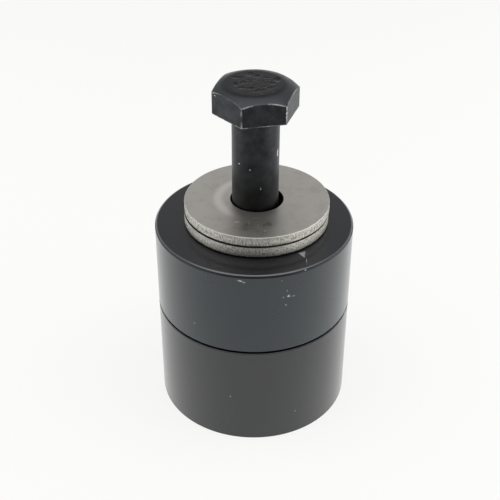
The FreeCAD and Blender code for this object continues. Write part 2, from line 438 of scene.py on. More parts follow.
def add(tree, kind, settings=None, links=None):
    """Adds one node with its settings, by property or socket name, and what feeds its sockets."""
    made = tree.nodes.new(kind)
    for name, value in (settings or {}).items():
        if isinstance(name, str) and hasattr(made, name):
            setattr(made, name, value)
        else:
            made.inputs[name].default_value = value
    for name, source in (links or {}).items():
        tree.links.new(source, made.inputs[name])
    return made


def material(name):
    made = bpy.data.materials.new(name)
    made.use_nodes = True
    made.node_tree.nodes.clear()
    return made


def round_place(tree, x, y):
    """How far out from an upright axis at x and y (mm) a point lies, at what angle, and how high, in metres."""
    where = add(tree, "ShaderNodeTexCoord").outputs["Object"]
    centred = add(tree, "ShaderNodeVectorMath", {"operation": "SUBTRACT", 1: (x * MM, y * MM, 0)}, {0: where})
    parts = add(tree, "ShaderNodeSeparateXYZ", links={0: centred.outputs[0]})
    level = add(tree, "ShaderNodeCombineXYZ", links={0: parts.outputs["X"], 1: parts.outputs["Y"]})
    out = add(tree, "ShaderNodeVectorMath", {"operation": "LENGTH"}, {0: level.outputs[0]})
    around = add(tree, "ShaderNodeMath", {"operation": "ARCTAN2"}, {0: parts.outputs["Y"], 1: parts.outputs["X"]})
    return out.outputs["Value"], around.outputs[0], parts.outputs["Z"]


def marks(tree, where, places):
    """Small worn spots: each a place and a half width along each axis, in mm. Gives 1 in a spot and 0 outside."""
    found = None
    for place, width in places:
        offset = add(tree, "ShaderNodeVectorMath", {"operation": "SUBTRACT", 1: [c * MM for c in place]}, {0: where})
        shrunk = add(tree, "ShaderNodeVectorMath", {"operation": "DIVIDE", 1: [w * MM for w in width]},
                     {0: offset.outputs[0]})
        far = add(tree, "ShaderNodeVectorMath", {"operation": "LENGTH"}, {0: shrunk.outputs[0]})
        spot = add(tree, "ShaderNodeMapRange",
                   {"interpolation_type": "SMOOTHSTEP", "From Min": 0.35, "From Max": 1.0, "To Min": 1.0,
                    "To Max": 0.0},
                   {"Value": far.outputs["Value"]}).outputs["Result"]
        if found:
            spot = add(tree, "ShaderNodeMath", {"operation": "MAXIMUM"}, {0: found, 1: spot}).outputs[0]
        found = spot
    return found


def black_oxide_steel(name, side_tints, worn_places, scuff=None):
    """Turned tool steel, blackened in a hot bath and oiled: dark, a little blue, with a satin gloss.
    Lathe marks run round it, the bath has left faint clouds, and knocks show the bare steel."""
    made = material(name)
    tree = made.node_tree
    place = add(tree, "ShaderNodeTexCoord")
    where = place.outputs["Object"]
    out, _, up = round_place(tree, 0, 0)
    facing = add(tree, "ShaderNodeSeparateXYZ", links={0: place.outputs["Normal"]}).outputs["Z"]
    faced = add(tree, "ShaderNodeMapRange", {"From Min": 0.9, "From Max": 0.97}, {"Value": facing}).outputs["Result"]

    clouds = add(tree, "ShaderNodeTexNoise", {"Scale": OXIDE_CLOUDS, "Detail": 3.0, "Roughness": 0.55},
                 {"Vector": where})
    side = add(tree, "ShaderNodeMix", {"data_type": "RGBA", 6: linear(side_tints[0]), 7: linear(side_tints[1])},
               {0: clouds.outputs["Fac"]})
    # The up-facing faces get a darker black: painted shade on the dies' tops
    tint = add(tree, "ShaderNodeMix", {"data_type": "RGBA", 7: linear(TOP_SHADE_BLACK)}, {0: faced, 6: side.outputs[2]})

    # Painted light on the rim: its corner gets a pale painted highlight, and just under it runs a painted dark line of
    # shade, where the coat is also taken off
    below_edge = add(tree, "ShaderNodeMapRange",
                     {"interpolation_type": "SMOOTHSTEP", "From Min": 0.72, "From Max": 0.6}, {"Value": facing})
    above_side = add(tree, "ShaderNodeMapRange",
                     {"interpolation_type": "SMOOTHSTEP", "From Min": 0.04, "From Max": 0.15}, {"Value": facing})
    at_rim = add(tree, "ShaderNodeMapRange", {"From Min": RIM_STARTS * MM, "From Max": (RIM_STARTS + 0.2) * MM},
                 {"Value": out})
    painted_rim_shade = add(tree, "ShaderNodeMath", {"operation": "MULTIPLY"},
               {0: below_edge.outputs["Result"], 1: above_side.outputs["Result"]})
    painted_rim_shade = add(tree, "ShaderNodeMath", {"operation": "MULTIPLY"},
               {0: painted_rim_shade.outputs[0], 1: at_rim.outputs["Result"]}).outputs[0]
    tint = add(tree, "ShaderNodeMix", {"data_type": "RGBA", 7: linear(RIM_SHADE_BLACK)}, {0: painted_rim_shade, 6: tint.outputs[2]})
    # Painted highlight: a pale band on the rim's corner, between the top face and the painted dark line
    onto_top = add(tree, "ShaderNodeMapRange",
                   {"interpolation_type": "SMOOTHSTEP", "From Min": 0.97, "From Max": 0.89}, {"Value": facing})
    off_line = add(tree, "ShaderNodeMapRange",
                   {"interpolation_type": "SMOOTHSTEP", "From Min": 0.68, "From Max": 0.78}, {"Value": facing})
    painted_rim_highlight = add(tree, "ShaderNodeMath", {"operation": "MULTIPLY"},
                 {0: onto_top.outputs["Result"], 1: off_line.outputs["Result"]})
    painted_rim_highlight = add(tree, "ShaderNodeMath", {"operation": "MULTIPLY"},
                 {0: painted_rim_highlight.outputs[0], 1: at_rim.outputs["Result"]}).outputs[0]
    tint = add(tree, "ShaderNodeMix", {"data_type": "RGBA", 7: linear(RIM_HIGHLIGHT_GREY)}, {0: painted_rim_highlight, 6: tint.outputs[2]})
    film = add(tree, "ShaderNodeMapRange", {"To Min": 0.7, "To Max": 0.0}, {"Value": painted_rim_shade})

    # Tool marks: real feed lines are 0.15 mm apart, drawn 0.4 mm apart so that they show
    line_place = add(tree, "ShaderNodeCombineXYZ", links={0: out, 1: up})
    lines = add(tree, "ShaderNodeTexNoise", {"Scale": FEED_LINES, "Detail": 2.0}, {"Vector": line_place.outputs[0]})
    grain = add(tree, "ShaderNodeTexNoise", {"Scale": OXIDE_GRAIN, "Detail": 2.0}, {"Vector": where})
    rough_lines = add(tree, "ShaderNodeMapRange", {"To Min": 0.23, "To Max": 0.25}, {"Value": lines.outputs["Fac"]})
    rough = add(tree, "ShaderNodeMath", {"operation": "MULTIPLY_ADD", 1: 0.1},
                {0: clouds.outputs["Fac"], 2: rough_lines.outputs["Result"]})
    rough = add(tree, "ShaderNodeMath", {"operation": "MULTIPLY_ADD", 1: 0.35}, {0: painted_rim_shade, 2: rough.outputs[0]})

    worn = marks(tree, where, worn_places)
    broken = add(tree, "ShaderNodeMapRange", {"From Min": 0.38, "From Max": 0.58}, {"Value": grain.outputs["Fac"]})
    worn = add(tree, "ShaderNodeMath", {"operation": "MULTIPLY"}, {0: worn, 1: broken.outputs["Result"]}).outputs[0]
    if scuff:
        for near, far in zip(scuff, scuff[1:] + scuff[:1]):
            along = (Vector(far) - Vector(near)).normalized()
            inwards = Vector((-along.y, along.x, 0))
            side_of = add(tree, "ShaderNodeVectorMath", {"operation": "DOT_PRODUCT", 1: inwards}, {0: where})
            start = inwards.dot(Vector(near) * MM)
            inside = add(tree, "ShaderNodeMapRange", {"From Min": start, "From Max": start + 0.25 * MM},
                         {"Value": side_of.outputs["Value"]}).outputs["Result"]
            scraped = inside if near is scuff[0] else add(
                tree, "ShaderNodeMath", {"operation": "MULTIPLY"}, {0: scraped, 1: inside}).outputs[0]
        scraped = add(tree, "ShaderNodeMath", {"operation": "MULTIPLY"}, {0: scraped, 1: faced}).outputs[0]
        thin = add(tree, "ShaderNodeMapRange", {"From Min": 0.3, "From Max": 0.55, "To Min": 0.45},
                   {"Value": grain.outputs["Fac"]}).outputs["Result"]
        scraped = add(tree, "ShaderNodeMath", {"operation": "MULTIPLY"}, {0: scraped, 1: thin}).outputs[0]
        worn = add(tree, "ShaderNodeMath", {"operation": "MAXIMUM"}, {0: worn, 1: scraped}).outputs[0]
    seen = add(tree, "ShaderNodeMix", {"data_type": "RGBA", 7: linear(BARE_STEEL)}, {0: worn, 6: tint.outputs[2]})

    relief = add(tree, "ShaderNodeMath", {"operation": "MULTIPLY_ADD", 1: 0.6},
                 {0: grain.outputs["Fac"], 2: lines.outputs["Fac"]})
    bump = add(tree, "ShaderNodeBump", {"Strength": 0.06, "Distance": 0.01 * MM}, {"Height": relief.outputs[0]})
    shader = add(tree, "ShaderNodeBsdfPrincipled",
                 {"Metallic": 0.25, "Specular IOR Level": 0.3, "Coat Roughness": 0.18},
                 {"Base Color": seen.outputs[2], "Roughness": rough.outputs[0], "Normal": bump.outputs["Normal"],
                  "Coat Weight": film.outputs["Result"]})
    add(tree, "ShaderNodeOutputMaterial", links={"Surface": shader.outputs["BSDF"]})
    return made


def blanked_steel(name, place_on_axis, marked=False):
    """Washer steel blanked from strip and tumbled: pale grey and dull on its faces, torn and speckled on its edge."""
    made = material(name)
    tree = made.node_tree
    place = add(tree, "ShaderNodeTexCoord")
    where = place.outputs["Object"]
    out, around, up = round_place(tree, place_on_axis["x"], place_on_axis["y"])
    base = place_on_axis["base"]
    facing = add(tree, "ShaderNodeSeparateXYZ", links={0: place.outputs["Normal"]}).outputs["Z"]
    steep = add(tree, "ShaderNodeMath", {"operation": "ABSOLUTE"}, {0: facing})
    edge = add(tree, "ShaderNodeMapRange", {"From Min": 0.75, "From Max": 0.35}, {"Value": steep.outputs[0]})
    edge = edge.outputs["Result"]

    clouds = add(tree, "ShaderNodeTexNoise", {"Scale": WASHER_CLOUDS, "Detail": 4.0, "Roughness": 0.6},
                 {"Vector": where})
    grain = add(tree, "ShaderNodeTexNoise", {"Scale": WASHER_GRAIN, "Detail": 3.0}, {"Vector": where})
    face = add(tree, "ShaderNodeMix", {"data_type": "RGBA", 6: linear(WASHER_GREY), 7: linear(WASHER_GREY_PALE)},
               {0: clouds.outputs["Fac"]})

    smears = add(tree, "ShaderNodeTexNoise", {"Scale": WASHER_SMEARS, "Detail": 5.0, "Roughness": 0.7},
                 {"Vector": where})
    smeared = add(tree, "ShaderNodeMapRange", {"From Min": 0.5, "From Max": 0.7, "To Max": 0.3},
                  {"Value": smears.outputs["Fac"]})
    face = add(tree, "ShaderNodeMix", {"data_type": "RGBA", 7: linear(WASHER_SMEAR)},
               {0: smeared.outputs["Result"], 6: face.outputs[2]})
    if marked:
        # The bolt head has rubbed a pale crescent round the bore
        from_ring = add(tree, "ShaderNodeMath", {"operation": "SUBTRACT", 1: RUBBED_RADIUS * MM}, {0: out})
        off_ring = add(tree, "ShaderNodeMath", {"operation": "ABSOLUTE"}, {0: from_ring.outputs[0]})
        ring = add(tree, "ShaderNodeMapRange",
                   {"interpolation_type": "SMOOTHSTEP", "From Min": 0.2 * MM, "From Max": 2.0 * MM,
                    "To Min": 1.0, "To Max": 0.0}, {"Value": off_ring.outputs[0]})
        leftwards = add(tree, "ShaderNodeSeparateXYZ", links={0: where}).outputs["X"]
        left = add(tree, "ShaderNodeMapRange",
                   {"interpolation_type": "SMOOTHSTEP", "From Min": -2.5 * MM, "From Max": -7.5 * MM, "To Min": 0.12},
                   {"Value": leftwards})
        crescent = add(tree, "ShaderNodeMath", {"operation": "MULTIPLY"},
                       {0: ring.outputs["Result"], 1: left.outputs["Result"]})
        face = add(tree, "ShaderNodeMix", {"data_type": "RGBA", 7: linear(WASHER_RUBBED)},
                   {0: crescent.outputs[0], 6: face.outputs[2]})
        blotted = add(tree, "ShaderNodeMapRange", {"From Min": 0.42, "From Max": 0.6, "To Max": 0.65},
                      {"Value": smears.outputs["Fac"]})
        stained = add(tree, "ShaderNodeMath", {"operation": "MULTIPLY"},
                      {0: marks(tree, where, WASHER_STAINS), 1: blotted.outputs["Result"]})
        face = add(tree, "ShaderNodeMix", {"data_type": "RGBA", 7: linear(WASHER_STAIN)},
                   {0: stained.outputs[0], 6: face.outputs[2]})
        face = add(tree, "ShaderNodeMix", {"data_type": "RGBA", 7: linear(WASHER_SCRATCHED)},
                   {0: marks(tree, where, WASHER_SCRATCHES), 6: face.outputs[2]})

    # Torn edge: short streaks 0.3 to 0.4 mm apart, leaning a little, below a sheared band along the top edge that is
    # painted paler as a highlight
    turns = add(tree, "ShaderNodeMath", {"operation": "MULTIPLY", 1: WASHER_RADIUS * MM}, {0: around})
    leaning = add(tree, "ShaderNodeMath", {"operation": "MULTIPLY_ADD", 1: 0.35}, {0: up, 2: turns.outputs[0]})
    low = add(tree, "ShaderNodeMath", {"operation": "MULTIPLY", 1: 0.4}, {0: up})
    edge_place = add(tree, "ShaderNodeCombineXYZ", links={0: leaning.outputs[0], 1: low.outputs[0]})
    streaks = add(tree, "ShaderNodeTexNoise",
                  {"Scale": UPPER_TEARS if marked else LOWER_TEARS, "Detail": 3.0, "Roughness": 0.65},
                  {"Vector": edge_place.outputs[0]})
    torn = add(tree, "ShaderNodeMapRange", {"From Min": 0.36, "From Max": 0.62}, {"Value": streaks.outputs["Fac"]})
    rim = add(tree, "ShaderNodeMix", {"data_type": "RGBA", 6: linear(WASHER_TORN_DARK), 7: linear(WASHER_TORN_PALE)},
              {0: torn.outputs["Result"]})
    top = base + place_on_axis["thickness"]
    sheared_highlight = add(tree, "ShaderNodeMapRange",
                  {"interpolation_type": "SMOOTHSTEP", "From Min": (top - 0.4) * MM, "From Max": (top - 0.25) * MM},
                  {"Value": up}).outputs["Result"]
    rim = add(tree, "ShaderNodeMix", {"data_type": "RGBA", 7: linear(WASHER_SHEARED_HIGHLIGHT)}, {0: sheared_highlight, 6: rim.outputs[2]})
    tint = add(tree, "ShaderNodeMix", {"data_type": "RGBA"}, {0: edge, 6: face.outputs[2], 7: rim.outputs[2]})

    # Painted shade, in black: between the washers, under the rolled edge, at the lower washer's top edge, fading up the
    # lower washer's edge from the die, and in the bore
    painted_shade = None
    places = [(up, base + 0.54, base + 0.3, 0.96), (out, WASHER_BORE_RADIUS + 0.2, WASHER_BORE_RADIUS + 0.05, 0.96)]
    if not marked:
        places += [(up, top - 0.28, top - 0.16, 0.96), (up, base + 2.3, base + 0.3, 0.5)]
    for here, unshaded, black, most in places:
        dark = add(tree, "ShaderNodeMapRange",
                   {"interpolation_type": "SMOOTHSTEP", "From Min": unshaded * MM, "From Max": black * MM, "To Max": most},
                   {"Value": here}).outputs["Result"]
        if painted_shade:
            dark = add(tree, "ShaderNodeMath", {"operation": "MAXIMUM"}, {0: painted_shade, 1: dark}).outputs[0]
        painted_shade = dark
    tint = add(tree, "ShaderNodeMix", {"data_type": "RGBA", 7: linear(DARKENING_BLACK)}, {0: painted_shade, 6: tint.outputs[2]})

    face_rough = add(tree, "ShaderNodeMapRange", {"To Min": 0.34, "To Max": 0.46}, {"Value": clouds.outputs["Fac"]})
    rough = add(tree, "ShaderNodeMix", {3: 0.5}, {0: edge, 2: face_rough.outputs["Result"]})
    face_bump = add(tree, "ShaderNodeBump", {"Strength": 0.25, "Distance": 0.01 * MM}, {"Height": grain.outputs["Fac"]})
    rim_height = add(tree, "ShaderNodeMath", {"operation": "MULTIPLY"}, {0: torn.outputs["Result"], 1: edge})
    bump = add(tree, "ShaderNodeBump", {"Strength": 0.6, "Distance": 0.06 * MM},
               {"Height": rim_height.outputs[0], "Normal": face_bump.outputs["Normal"]})
    shader = add(tree, "ShaderNodeBsdfPrincipled", {"Metallic": 1.0},
                 {"Base Color": tint.outputs[2], "Roughness": rough.outputs[0], "Normal": bump.outputs["Normal"]})
    add(tree, "ShaderNodeOutputMaterial", links={"Surface": shader.outputs["BSDF"]})
    return made


def hexagon_edges(tree, where, up):
    """How near a point of the bolt's head lies to a corner or to the edge of its chamfer: 1 there, 0 away."""
    centred = add(tree, "ShaderNodeVectorMath", {"operation": "SUBTRACT", 1: (BOLT_X * MM, BOLT_Y * MM, 0)}, {0: where})
    across = []
    for step in range(3):
        angle = math.radians(30 + HEAD_TURN + 60 * step)
        along = add(tree, "ShaderNodeVectorMath",
                    {"operation": "DOT_PRODUCT", 1: (math.cos(angle), math.sin(angle), 0)}, {0: centred.outputs[0]})
        across.append(add(tree, "ShaderNodeMath", {"operation": "ABSOLUTE"}, {0: along.outputs["Value"]}).outputs[0])
    low = add(tree, "ShaderNodeMath", {"operation": "MINIMUM"}, {0: across[0], 1: across[1]}).outputs[0]
    high = add(tree, "ShaderNodeMath", {"operation": "MAXIMUM"}, {0: across[0], 1: across[1]}).outputs[0]
    most = add(tree, "ShaderNodeMath", {"operation": "MAXIMUM"}, {0: high, 1: across[2]}).outputs[0]
    between = add(tree, "ShaderNodeMath", {"operation": "MINIMUM"}, {0: high, 1: across[2]}).outputs[0]
    second = add(tree, "ShaderNodeMath", {"operation": "MAXIMUM"}, {0: low, 1: between}).outputs[0]
    flat = HEAD_ACROSS_FLATS / 2 * MM
    from_flat = add(tree, "ShaderNodeMath", {"operation": "SUBTRACT", 0: flat}, {1: most}).outputs[0]
    to_corner = add(tree, "ShaderNodeMath", {"operation": "SUBTRACT", 0: flat}, {1: second}).outputs[0]
    corner = add(tree, "ShaderNodeMath", {"operation": "ADD"}, {0: from_flat, 1: to_corner}).outputs[0]
    slope = math.tan(math.radians(HEXAGON_CHAMFER_ANGLE))
    peak = (HEAD_BASE + HEAD_HEIGHT + HEAD_ACROSS_FLATS / 2 * HEXAGON_CHAMFER_SHARE * slope) * MM
    cone_out, _, _ = round_place(tree, BOLT_X + HEAD_CHAMFER_X, BOLT_Y + HEAD_CHAMFER_Y)
    reach = add(tree, "ShaderNodeMath", {"operation": "MULTIPLY_ADD", 1: slope}, {0: cone_out, 2: up}).outputs[0]
    below_cone = add(tree, "ShaderNodeMath", {"operation": "SUBTRACT", 0: peak}, {1: reach}).outputs[0]
    rim = add(tree, "ShaderNodeMath", {"operation": "ADD"}, {0: from_flat, 1: below_cone}).outputs[0]
    above_foot = add(tree, "ShaderNodeMath", {"operation": "SUBTRACT", 1: (HEAD_BASE + BEARING_HEIGHT) * MM}, {0: up})
    above_foot = add(tree, "ShaderNodeMath", {"operation": "ABSOLUTE"}, {0: above_foot.outputs[0]})
    foot = add(tree, "ShaderNodeMath", {"operation": "ADD"}, {0: from_flat, 1: above_foot.outputs[0]})
    nearest = add(tree, "ShaderNodeMath", {"operation": "MINIMUM"}, {0: corner, 1: rim}).outputs[0]
    nearest = add(tree, "ShaderNodeMath", {"operation": "MINIMUM"}, {0: nearest, 1: foot.outputs[0]}).outputs[0]
    return add(tree, "ShaderNodeMapRange",
               {"interpolation_type": "SMOOTHSTEP", "From Min": 0.02 * MM, "From Max": 0.28 * MM,
                "To Min": 0.6, "To Max": 0.0}, {"Value": nearest}).outputs["Result"]


def forged_black_steel(name, worn_places=()):
    """Cold-forged bolt steel, quenched black: duller than the dies, mottled, with bright steel on its worn corners."""
    made = material(name)
    tree = made.node_tree
    place = add(tree, "ShaderNodeTexCoord")
    where = place.outputs["Object"]
    _, _, up = round_place(tree, BOLT_X, BOLT_Y)
    scale_marks = add(tree, "ShaderNodeTexNoise", {"Scale": FORGED_SCALE, "Detail": 5.0, "Roughness": 0.65},
                      {"Vector": where})
    grain = add(tree, "ShaderNodeTexNoise", {"Scale": FORGED_GRAIN, "Detail": 2.0}, {"Vector": where})
    mottled = add(tree, "ShaderNodeMapRange", {"From Min": 0.3, "From Max": 0.7}, {"Value": scale_marks.outputs["Fac"]})
    tint = add(tree, "ShaderNodeMix", {"data_type": "RGBA", 6: linear(FORGED_BLACK), 7: linear(FORGED_BLACK_PALE)},
               {0: mottled.outputs["Result"]})

    # The shank's colour darkens towards the bottom, towards black at the lowest heights
    darker_low = add(tree, "ShaderNodeMapRange",
               {"interpolation_type": "SMOOTHSTEP", "From Min": DARKEST_BELOW * MM, "From Max": UNDARKENED_ABOVE * MM,
                "To Min": 0.8, "To Max": 0.0},
               {"Value": up})
    tint = add(tree, "ShaderNodeMix", {"data_type": "RGBA", 7: linear(DARKENING_BLACK)},
               {0: darker_low.outputs["Result"], 6: tint.outputs[2]})

    wear = add(tree, "ShaderNodeTexNoise", {"Scale": CORNER_WEAR, "Detail": 4.0, "Roughness": 0.7}, {"Vector": where})
    patchy = add(tree, "ShaderNodeMapRange", {"From Min": 0.46, "From Max": 0.62, "To Min": 0.1},
                 {"Value": wear.outputs["Fac"]})
    worn = add(tree, "ShaderNodeMath", {"operation": "MULTIPLY"},
               {0: hexagon_edges(tree, where, up), 1: patchy.outputs["Result"]}).outputs[0]
    if worn_places:
        broken = add(tree, "ShaderNodeMapRange", {"From Min": 0.34, "From Max": 0.54}, {"Value": grain.outputs["Fac"]})
        spots = add(tree, "ShaderNodeMath", {"operation": "MULTIPLY"},
                    {0: marks(tree, where, worn_places), 1: broken.outputs["Result"]}).outputs[0]
        worn = add(tree, "ShaderNodeMath", {"operation": "MAXIMUM"}, {0: worn, 1: spots}).outputs[0]
    dents = marks(tree, where, HEAD_DENTS)
    struck = add(tree, "ShaderNodeTexNoise", {"Scale": DENT_EDGES, "Detail": 2.0, "Distortion": 1.5}, {"Vector": where})
    ragged = add(tree, "ShaderNodeMapRange", {"From Min": 0.26, "From Max": 0.34}, {"Value": struck.outputs["Fac"]})
    dents = add(tree, "ShaderNodeMath", {"operation": "MULTIPLY"}, {0: dents, 1: ragged.outputs["Result"]}).outputs[0]
    ring = marks(tree, where, (HEAD_CENTRE_ROUGH,))
    wrinkles = add(tree, "ShaderNodeTexNoise", {"Scale": HEAD_WRINKLES, "Detail": 3.0, "Distortion": 1.2},
                   {"Vector": where})
    deep = add(tree, "ShaderNodeMapRange", {"From Min": 0.5, "From Max": 0.58, "To Max": 0.95},
               {"Value": wrinkles.outputs["Fac"]})
    creases = add(tree, "ShaderNodeMath", {"operation": "MULTIPLY"}, {0: ring, 1: deep.outputs["Result"]})
    dents = add(tree, "ShaderNodeMath", {"operation": "MAXIMUM"}, {0: dents, 1: creases.outputs[0]}).outputs[0]
    tint = add(tree, "ShaderNodeMix", {"data_type": "RGBA", 7: linear(DENT_BLACK)}, {0: dents, 6: tint.outputs[2]})

    # The turned chamfer is rubbed a little paler than the forged faces
    facing = add(tree, "ShaderNodeSeparateXYZ", links={0: place.outputs["Normal"]}).outputs["Z"]
    past_side = add(tree, "ShaderNodeMapRange", {"From Min": 0.3, "From Max": 0.6}, {"Value": facing})
    before_top = add(tree, "ShaderNodeMapRange",
                     {"interpolation_type": "SMOOTHSTEP", "From Min": 1.0, "From Max": 0.95}, {"Value": facing})
    chamfered = add(tree, "ShaderNodeMath", {"operation": "MULTIPLY"},
                    {0: past_side.outputs["Result"], 1: before_top.outputs["Result"]})
    tint = add(tree, "ShaderNodeMix", {"data_type": "RGBA", 7: linear(FORGED_CHAMFER)},
               {0: chamfered.outputs[0], 6: tint.outputs[2]})
    seen = add(tree, "ShaderNodeMix", {"data_type": "RGBA", 7: linear(WORN_CORNER)}, {0: worn, 6: tint.outputs[2]})

    rough = add(tree, "ShaderNodeMapRange", {"To Min": 0.3, "To Max": 0.44}, {"Value": mottled.outputs["Result"]})
    relief = add(tree, "ShaderNodeMath", {"operation": "MULTIPLY_ADD", 1: 0.5},
                 {0: grain.outputs["Fac"], 2: scale_marks.outputs["Fac"]})
    relief = add(tree, "ShaderNodeMath", {"operation": "MULTIPLY_ADD", 1: -8.0}, {0: dents, 2: relief.outputs[0]})
    rough_centre = add(tree, "ShaderNodeMath", {"operation": "MULTIPLY"}, {0: ring, 1: wrinkles.outputs["Fac"]})
    relief = add(tree, "ShaderNodeMath", {"operation": "MULTIPLY_ADD", 1: 2.5},
                 {0: rough_centre.outputs[0], 2: relief.outputs[0]})
    bump = add(tree, "ShaderNodeBump", {"Strength": 0.35, "Distance": 0.04 * MM}, {"Height": relief.outputs[0]})
    shader = add(tree, "ShaderNodeBsdfPrincipled", {"Metallic": 0.5, "Specular IOR Level": 0.22},
                 {"Base Color": seen.outputs[2], "Roughness": rough.outputs["Result"],
                  "Normal": bump.outputs["Normal"]})
    add(tree, "ShaderNodeOutputMaterial", links={"Surface": shader.outputs["BSDF"]})
    return made


def dressed(piece, node_name, finish):
    """The piece takes its finish and stands for its CAD node, on that node's body."""
    piece.data.materials.clear()
    piece.data.materials.append(finish)
    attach(piece, node_name)
    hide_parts(node_name)


# Finishes as the eye has them
LOWER_SIDE_BLACK = ("#1d2021", "#252525")
UPPER_SIDE_BLACK = ("#151e22", "#1e2325")
# painted shade: the darker black of the dies' up-facing faces
TOP_SHADE_BLACK = "#101218"
# painted shade: the dark line under the die's rim
RIM_SHADE_BLACK = "#060708"
# painted highlight: the pale line on the die's rim corner
RIM_HIGHLIGHT_GREY = "#44484a"
BARE_STEEL = "#939697"
WASHER_GREY = "#bab7b0"
WASHER_GREY_PALE = "#c6c3bd"
WASHER_SMEAR = "#8f8c86"
WASHER_RUBBED = "#dad5d1"
WASHER_SCRATCHED = "#e9e7e3"
WASHER_STAIN = "#6c6963"
# the sheared band at a washer's top edge, its paler grey a painted highlight
WASHER_SHEARED_HIGHLIGHT = "#a19f99"
WASHER_TORN_DARK = "#74726c"
WASHER_TORN_PALE = "#b9b8b1"
# black of the washers' painted shade, and of the bolt shank's darkening towards the bottom
DARKENING_BLACK = "#0c0c0b"
FORGED_BLACK = "#0e0f11"
FORGED_BLACK_PALE = "#242628"
DENT_BLACK = "#020202"
FORGED_CHAMFER = "#36383b"
WORN_CORNER = "#a8a9a8"
RUBBED_RADIUS = 9.9          # mm, of the crescent on the upper washer
RIM_STARTS = 24.0            # mm from the axis, inside the rim's rounding
DARKEST_BELOW = 60              # mm up the bolt: its shank darkens towards the bottom, most below here
UNDARKENED_ABOVE = 76

# Noise scales, per metre, with the size of what each one draws
OXIDE_CLOUDS = 70.0          # 14 mm
FEED_LINES = 2500.0          # 0.4 mm
OXIDE_GRAIN = 2200.0         # 0.45 mm
WASHER_CLOUDS = 110.0        # 9 mm
WASHER_SMEARS = 260.0        # 4 mm
WASHER_GRAIN = 2600.0        # 0.4 mm
UPPER_TEARS = 2500.0         # 0.4 mm
LOWER_TEARS = 3400.0         # 0.3 mm
FORGED_SCALE = 420.0         # 2.4 mm
FORGED_GRAIN = 2600.0        # 0.4 mm
CORNER_WEAR = 260.0          # 4 mm
DENT_EDGES = 900.0           # 1.1 mm
HEAD_WRINKLES = 700.0        # 1.4 mm

# Knocks and scuffs, mm: a place and the half width along x, y and z
UPPER_DIE_KNOCKS = (
    ((8.3, -24.11, 46.2), (0.55, 0.5, 0.5)),
    ((7.08, -24.5, 46.1), (0.3, 0.4, 0.35)),
    ((9.39, -23.71, 45.9), (0.9, 0.5, 0.2)),
    ((7.87, -24.26, 47.84), (0.25, 0.3, 0.3)),
    ((7.68, -24.32, 43.66), (0.25, 0.3, 0.25)),
    ((6.57, -24.64, 51.07), (0.2, 0.3, 0.2)),
    ((-3.38, -25.28, 51.49), (1.1, 0.5, 0.3)),
    ((-2.5, -25.37, 51.1), (0.5, 0.4, 0.25)),
    ((-14.83, -20.75, 35.17), (0.25, 0.25, 0.25)),
    ((12.3, -22.31, 52.6), (0.4, 0.4, 0.18)),
    ((12.6, -19.2, 53.0), (0.1, 1.8, 0.3)),
)
UPPER_DIE_SCUFF = ((10.49, -15.61, 53.0), (12.3, -17.9, 53.0), (12.65, -14.72, 53.0))
LOWER_DIE_KNOCKS = (
    ((-6.0, -24.78, 14.2), (0.25, 0.3, 0.25)),
    ((11.0, -23.0, 7.5), (0.2, 0.3, 0.3)),
)
BOLT_KNOCKS = (
    ((1.56, -5.6, 65.25), (0.2, 0.4, 0.55)),
    ((-3.79, -4.1, 71.4), (0.3, 0.4, 0.2)),
    ((-1.11, -5.6, 70.4), (0.22, 0.3, 0.2)),
    ((5.58, -2.2, 73.4), (0.4, 0.5, 1.4)),
    ((7.41, -7.84, 86.2), (0.3, 0.3, 3.2)),
    ((-9.6, -2.9, 88.85), (0.7, 0.8, 0.1)),
)

WASHER_STAINS = (
    ((-2.8, -13.2, 58.85), (3.4, 2.6, 0.5)),
    ((1.2, -16.0, 58.85), (2.8, 1.8, 0.5)),
    ((3.2, -12.4, 58.85), (1.8, 2.2, 0.5)),
)
WASHER_SCRATCHES = (
    ((-4.2, -10.85, 58.85), (1.0, 0.5, 0.3)),
    ((-1.3, -11.4, 58.85), (0.13, 2.2, 0.3)),
    ((0.9, -12.6, 58.85), (0.12, 1.3, 0.3)),
    ((2.6, -14.9, 58.85), (0.16, 0.9, 0.3)),
    ((0.4, -9.1, 58.85), (1.5, 0.16, 0.3)),
)
HEAD_CENTRE_ROUGH = ((BOLT_X, BOLT_Y, 90.45), (7.5, 7.5, 2.0))
HEAD_DENTS = (
    ((-0.75, -2.4, 90.45), (1.0, 1.0, 0.5)),
    ((1.35, -3.3, 90.45), (1.2, 1.1, 0.5)),
    ((0.3, -3.9, 90.45), (1.6, 0.6, 0.5)),
    ((-4.5, -0.1, 90.45), (0.8, 1.5, 0.5)),
    ((-3.1, -2.0, 90.45), (1.6, 0.9, 0.5)),
    ((-2.9, 0.9, 90.45), (1.3, 0.7, 0.5)),
    ((-1.2, 5.6, 90.45), (1.2, 1.5, 0.5)),
    ((0.6, 4.6, 90.45), (1.0, 1.3, 0.5)),
    ((-4.2, 3.9, 90.45), (1.8, 0.9, 0.5)),
    ((5.35, 2.7, 90.45), (1.1, 1.7, 0.5)),
    ((4.2, 0.6, 90.45), (0.8, 1.0, 0.5)),
    ((3.6, -2.2, 90.45), (0.9, 0.8, 0.5)),
    ((3.0, 3.6, 90.45), (1.2, 0.6, 0.5)),
)

